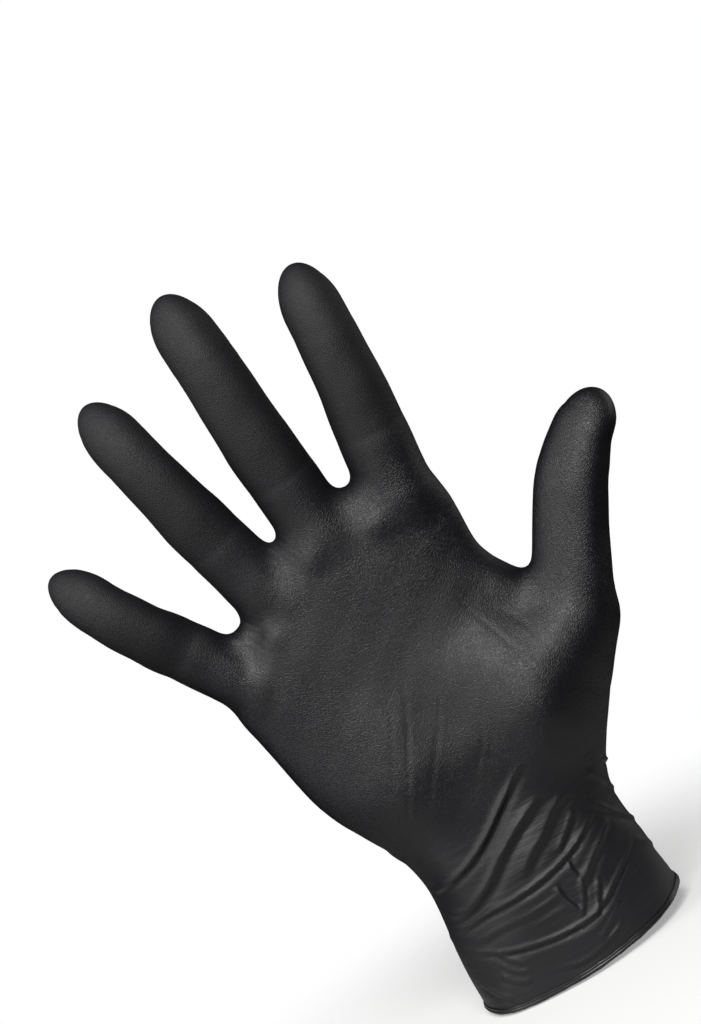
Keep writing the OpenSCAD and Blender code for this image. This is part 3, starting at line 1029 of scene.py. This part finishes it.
def film_material():
    """Black nitrile film: a fine leathery grain on the hand, and small wrinkles where it is loose."""
    if "Black nitrile film" in bpy.data.materials:
        return bpy.data.materials["Black nitrile film"]
    sizes, colours = bpy.context.scene.glove_sizes, bpy.context.scene.glove_colours
    n = Nodes("Black nitrile film")
    place = n.add("ShaderNodeTexCoord").outputs["Object"]
    parts = n.add("ShaderNodeSeparateXYZ", inputs={"Vector": place})
    height = parts.outputs["Z"]
    hand = n.ramp(height, (WRIST[2] - 6) / MM, (WRIST[2] + 30) / MM, 0.12, 1.0)
    cell = 1 / sizes.grain
    wobble = n.add("ShaderNodeTexNoise", inputs={"Vector": place, "Scale": cell * 0.7, "Detail": 2.0})
    shift = n.add(
        "ShaderNodeVectorMath", operation="SCALE", inputs={0: wobble.outputs["Color"], "Scale": 0.0006}
    )
    moved = n.add("ShaderNodeVectorMath", operation="ADD", inputs={0: place, 1: shift.outputs[0]})
    grain = n.add(
        "ShaderNodeTexVoronoi", feature="DISTANCE_TO_EDGE",
        inputs={"Vector": moved.outputs[0], "Scale": cell},
    ).outputs["Distance"]
    pebble = n.ramp(grain, 0.0, 0.28, 0.0, 1.0)
    fine = n.noise(place, cell * 2.6)
    patch = n.noise(place, 38.0)
    relief = n.math("ADD", n.math("MULTIPLY", pebble, 0.8), n.math("MULTIPLY", fine, 0.5))
    relief = n.math("MULTIPLY", relief, n.math("MULTIPLY", hand, n.ramp(patch, 0.3, 0.7, 0.55, 1.0)))
    # the loose film has small wrinkles along its folds
    along = n.add("ShaderNodeMapping", inputs={
        "Vector": moved.outputs[0], "Rotation": (0.0, math.radians(-14), 0.0), "Scale": (0.16, 0.16, 1.0)})
    wrinkle = n.noise(along.outputs[0], 420.0)
    loose = n.ramp(height, (WRIST[2] + 2) / MM, (WRIST[2] + 16) / MM, 3.2, 0.0)
    relief = n.math("ADD", relief, n.math("MULTIPLY", wrinkle, loose))
    bump_node = n.add("ShaderNodeBump", inputs={"Height": relief, "Distance": 0.00012, "Strength": 0.8})
    n.put(n.shader.inputs["Normal"], bump_node.outputs[0])
    tone = n.add("ShaderNodeMix", data_type="RGBA")
    n.put(tone.inputs["Factor"], n.ramp(patch, 0.3, 0.75, 0.0, 1.0))
    n.put(tone.inputs["A"], (*colours.film, 1.0))
    n.put(tone.inputs["B"], (*[min(1.0, c * 1.35) for c in colours.film], 1.0))
    n.put(n.shader.inputs["Base Color"], tone.outputs["Result"])
    # the film is duller where it is stretched over the fingers
    little, index = STALLS["little"].root / MM, STALLS["index"].root / MM
    rise = (index[2] - little[2]) / -little[0]
    knuckles = n.math("MULTIPLY", n.math("MINIMUM", parts.outputs["X"], 0.0), rise)
    above = n.math("SUBTRACT", n.math("SUBTRACT", height, knuckles), index[2])
    rough = n.math("ADD", n.ramp(height, (WRIST[2] - 6) / MM, (WRIST[2] + 30) / MM, 0.50, 0.41),
                   n.ramp(above, -0.012, 0.010, 0.0, 0.20))
    rough = n.math("ADD", rough, n.math("MULTIPLY", fine, 0.08))
    n.put(n.shader.inputs["Roughness"], rough)
    n.put(n.shader.inputs["IOR"], 1.5)
    return n.material


def bead_material():
    """The same film rolled up: darker and smoother, with faint lines along the roll."""
    colours = bpy.context.scene.glove_colours
    n = Nodes("Rolled nitrile bead")
    place = n.add("ShaderNodeTexCoord").outputs["Object"]
    squeeze = n.add("ShaderNodeMapping", inputs={"Vector": place, "Scale": (1.0, 1.0, 9.0)}).outputs[0]
    lines = n.noise(squeeze, 260.0)
    bump_node = n.add("ShaderNodeBump", inputs={"Height": lines, "Distance": 0.0001, "Strength": 0.5})
    n.put(n.shader.inputs["Normal"], bump_node.outputs[0])
    n.put(n.shader.inputs["Base Color"], (*colours.bead, 1.0))
    n.put(n.shader.inputs["Roughness"], n.ramp(lines, 0.3, 0.7, 0.30, 0.42))
    return n.material


# ---- what a user can change ----

class GloveSizes(bpy.types.PropertyGroup):
    film: bpy.props.FloatProperty(
        name="Film", description="Thickness of the dipped film",
        default=0.00015, min=0.00005, max=0.0005, precision=5, unit="LENGTH", subtype="DISTANCE")
    bead_radius: bpy.props.FloatProperty(
        name="Bead radius", description="Radius of the rolled edge",
        default=0.0007, min=0.0003, max=0.0015, precision=5, unit="LENGTH", subtype="DISTANCE")
    grain: bpy.props.FloatProperty(
        name="Grain", description="Width of one pebble of the film's grain",
        default=0.00068, min=0.0003, max=0.003, precision=5, unit="LENGTH", subtype="DISTANCE")
    mesh_step: bpy.props.FloatProperty(
        name="Mesh step", description="About how far apart the mesh points lie",
        default=0.00062, min=0.0004, max=0.002, precision=5, unit="LENGTH", subtype="DISTANCE")
    fold_strength: bpy.props.FloatProperty(
        name="Fold strength", description="Height of the folds at cuff and wrist; 1 is as worn",
        default=1.0, min=0.0, max=1.5, subtype="FACTOR")


class GloveColours(bpy.types.PropertyGroup):
    film: bpy.props.FloatVectorProperty(
        name="Film", description="Colour of the film", default=(0.0030, 0.0028, 0.0044),
        min=0.0, max=1.0, size=3, subtype="COLOR")
    bead: bpy.props.FloatVectorProperty(
        name="Bead", description="Colour of the rolled edge", default=(0.0065, 0.0065, 0.0070),
        min=0.0, max=1.0, size=3, subtype="COLOR")
    floor: bpy.props.FloatVectorProperty(
        name="Floor", description="Colour of the floor", default=(0.9, 0.9, 0.9),
        min=0.0, max=1.0, size=3, subtype="COLOR")


class GLOVE_OT_cuff(bpy.types.Operator):
    """Build the cuff's film"""
    bl_idname = "glove.cuff"
    bl_label = "Cuff"

    def execute(self, context):
        add_film(["cuff_film"])
        return {"FINISHED"}


class GLOVE_OT_bead(bpy.types.Operator):
    """Build the rolled bead at the cuff's edge"""
    bl_idname = "glove.bead"
    bl_label = "Rolled bead"

    def execute(self, context):
        obj = bead_object(context.scene.glove_sizes)
        obj.data.materials.append(bead_material())
        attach(obj, "cuff")
        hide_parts("cuff_bead")
        return {"FINISHED"}


class GLOVE_OT_wrist(bpy.types.Operator):
    """Build the film that folds at the wrist"""
    bl_idname = "glove.wrist"
    bl_label = "Wrist"

    def execute(self, context):
        add_film(["wrist_film"])
        return {"FINISHED"}


class GLOVE_OT_palm(bpy.types.Operator):
    """Build the film over the palm and the back of the hand"""
    bl_idname = "glove.palm"
    bl_label = "Palm"

    def execute(self, context):
        add_film(["palm_film"])
        return {"FINISHED"}


class GLOVE_OT_fingers(bpy.types.Operator):
    """Build the film of the four finger stalls, three pieces each"""
    bl_idname = "glove.fingers"
    bl_label = "Fingers"

    def execute(self, context):
        add_film([f"{f}_{zone}_film" for f in FINGERS for zone in ("root", "middle", "tip")])
        return {"FINISHED"}


class GLOVE_OT_thumb(bpy.types.Operator):
    """Build the film of the thumb stall, two pieces"""
    bl_idname = "glove.thumb"
    bl_label = "Thumb"

    def execute(self, context):
        add_film(["thumb_root_film", "thumb_tip_film"])
        return {"FINISHED"}


class GLOVE_OT_stage(bpy.types.Operator):
    """Set up the floor, the light and the camera"""
    bl_idname = "glove.stage"
    bl_label = "Stage"

    def execute(self, context):
        low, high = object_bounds()
        add_floor(low.z - 0.0004)
        add_lights()
        add_world()
        add_camera()
        context.scene.view_settings.view_transform = "Standard"
        return {"FINISHED"}


class GLOVE_PT_build(bpy.types.Panel):
    bl_label = "Disposable glove"
    bl_idname = "GLOVE_PT_build"
    bl_space_type = "VIEW_3D"
    bl_region_type = "UI"
    bl_category = "Glove"

    def draw(self, context):
        for name in ("film", "bead_radius", "grain", "mesh_step", "fold_strength"):
            self.layout.prop(context.scene.glove_sizes, name)
        for name in ("film", "bead", "floor"):
            self.layout.prop(context.scene.glove_colours, name)
        for operator in OPERATORS:
            self.layout.operator(operator.bl_idname)


# ---- stage ----

CAMERA_ROLL = 31.03
CAMERA_RISE = 4.0
CAMERA_DISTANCE = 0.75
CAMERA_TARGET = Vector((0.00809, 0.0, 0.15242))
PICTURE_HEIGHT = 0.3166   # metres seen from top to bottom at the glove


def camera_axes():
    """Right, up and back of the camera."""
    rise, roll = math.radians(CAMERA_RISE), math.radians(CAMERA_ROLL)
    back = Vector((0, -math.cos(rise), math.sin(rise)))
    level = Vector((1, 0, 0))
    upright = back.cross(level)
    right = level * math.cos(roll) - upright * math.sin(roll)
    up = level * math.sin(roll) + upright * math.cos(roll)
    return right, up, back


def add_camera():
    right, up, back = camera_axes()
    data = bpy.data.cameras.new("Camera")
    data.sensor_fit = "AUTO"
    data.sensor_width = 36.0
    data.lens = data.sensor_width * CAMERA_DISTANCE / PICTURE_HEIGHT
    camera = bpy.data.objects.new("Camera", data)
    turn = Matrix((right, up, back)).transposed().to_4x4()
    camera.matrix_world = Matrix.Translation(CAMERA_TARGET + back * CAMERA_DISTANCE) @ turn
    bpy.context.scene.collection.objects.link(camera)
    bpy.context.scene.camera = camera


def add_light(name, place, size, power):
    """A soft round light that faces the glove. Place is along the camera's right, up and back."""
    right, up, back = camera_axes()
    data = bpy.data.lights.new(name, "AREA")
    data.shape = "DISK"
    data.size = size
    data.energy = power
    data.color = (1.0, 0.995, 0.985)
    light = bpy.data.objects.new(name, data)
    away = right * place[0] + up * place[1] + back * place[2]
    light.location = CAMERA_TARGET + away
    light.rotation_mode = "QUATERNION"
    light.rotation_quaternion = away.to_track_quat("Z", "Y")
    bpy.context.scene.collection.objects.link(light)


def add_lights():
    add_light("Key light", (-0.36, 0.57, 0.87), 0.7, 15.4)
    add_light("Side light", (-1.04, 0.0, 0.34), 0.75, 5.8)
    add_light("Low light", (-0.62, -0.70, 0.52), 0.75, 1.8)
    add_light("Rim light", (0.75, 0.60, -0.40), 0.75, 1.5)


def add_world():
    """White to look at, and a softer grey as light."""
    world = bpy.data.worlds.new("White room")
    bpy.context.scene.world = world
    world.use_nodes = True
    nodes, links = world.node_tree.nodes, world.node_tree.links
    nodes.clear()
    seen = nodes.new("ShaderNodeLightPath")
    looked_at = nodes.new("ShaderNodeBackground")
    looked_at.inputs["Color"].default_value = (1, 1, 1, 1)
    lit_by = nodes.new("ShaderNodeBackground")
    lit_by.inputs["Color"].default_value = (0.95, 0.97, 1.0, 1)
    lit_by.inputs["Strength"].default_value = 0.008
    pick = nodes.new("ShaderNodeMixShader")
    out = nodes.new("ShaderNodeOutputWorld")
    links.new(seen.outputs["Is Camera Ray"], pick.inputs[0])
    links.new(lit_by.outputs[0], pick.inputs[1])
    links.new(looked_at.outputs[0], pick.inputs[2])
    links.new(pick.outputs[0], out.inputs["Surface"])


def add_floor(height):
    """A pale round floor that fades into the white of the room."""
    bm = bmesh.new()
    bmesh.ops.create_circle(bm, cap_ends=True, segments=96, radius=0.6)
    mesh = bpy.data.meshes.new("Floor")
    bm.to_mesh(mesh)
    bm.free()
    floor = bpy.data.objects.new("Floor", mesh)
    floor.location.z = height
    bpy.context.scene.collection.objects.link(floor)
    n = Nodes("Pale floor")
    n.put(n.shader.inputs["Base Color"], (*bpy.context.scene.glove_colours.floor, 1.0))
    n.put(n.shader.inputs["Roughness"], 0.7)
    place = n.add("ShaderNodeTexCoord").outputs["Object"]
    away = n.add("ShaderNodeVectorMath", operation="LENGTH", inputs={0: place}).outputs["Value"]
    clear = n.add("ShaderNodeBsdfTransparent")
    fade = n.add("ShaderNodeMixShader")
    n.put(fade.inputs[0], n.ramp(away, 0.03, 0.20, 0.35, 1.0))
    n.put(fade.inputs[1], n.shader.outputs[0])
    n.put(fade.inputs[2], clear.outputs[0])
    n.put(n.tree.nodes["Material Output"].inputs["Surface"], fade.outputs[0])
    floor.data.materials.append(n.material)
    floor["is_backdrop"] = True


OPERATORS = (
    GLOVE_OT_cuff, GLOVE_OT_bead, GLOVE_OT_wrist, GLOVE_OT_palm, GLOVE_OT_fingers, GLOVE_OT_thumb,
    GLOVE_OT_stage,
)
CLASSES = (GloveSizes, GloveColours, *OPERATORS, GLOVE_PT_build)


def register():
    for cls in CLASSES:
        bpy.utils.register_class(cls)
    bpy.types.Scene.glove_sizes = bpy.props.PointerProperty(type=GloveSizes)
    bpy.types.Scene.glove_colours = bpy.props.PointerProperty(type=GloveColours)


def unregister():
    del bpy.types.Scene.glove_colours
    del bpy.types.Scene.glove_sizes
    for cls in reversed(CLASSES):
        bpy.utils.unregister_class(cls)


def main():
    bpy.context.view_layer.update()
    register()
    for operator in OPERATORS:
        group, name = operator.bl_idname.split(".")
        getattr(getattr(bpy.ops, group), name)()


if __name__ == "__main__":
    main()
